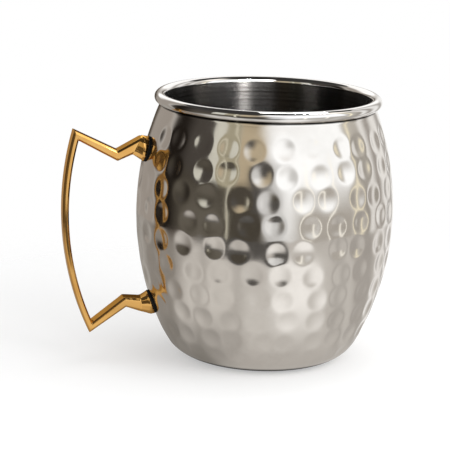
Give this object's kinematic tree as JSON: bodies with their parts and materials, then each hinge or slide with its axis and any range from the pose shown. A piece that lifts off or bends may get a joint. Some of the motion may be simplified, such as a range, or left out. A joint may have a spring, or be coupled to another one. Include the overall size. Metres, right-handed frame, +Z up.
{
  "type": "handled drinking mug",
  "caption": "Double-walled barrel mug with a hammered steel shell, a smooth liner rolled over at the rim, and an angular brass bar handle screwed on through dark gaskets.",
  "frame": {"origin": "on the mug's axis, in the plane of the ring that it stands on", "axes": "+Z up along the mug's axis, -X out through the middle of the handle, +Y to the side of the handle"},
  "size_m": [0.1248, 0.0964, 0.1],
  "materials": {
    "hammered_steel": "hammered, finely brushed",
    "liner_steel": "drawn and brushed round, polished at the rolled rim",
    "brass": "polished",
    "gasket_rubber": "matt",
    "fixing_steel": "plain"
  },
  "bodies": {
    "root": {"outer_shell": "hammered_steel", "inner_liner": "liner_steel", "base_plate": "liner_steel", "handle": "brass", "upper_gasket": "gasket_rubber", "lower_gasket": "gasket_rubber", "upper_washer": "fixing_steel", "lower_washer": "fixing_steel", "upper_screw": "fixing_steel", "lower_screw": "fixing_steel"}
  },
  "joints": []
}
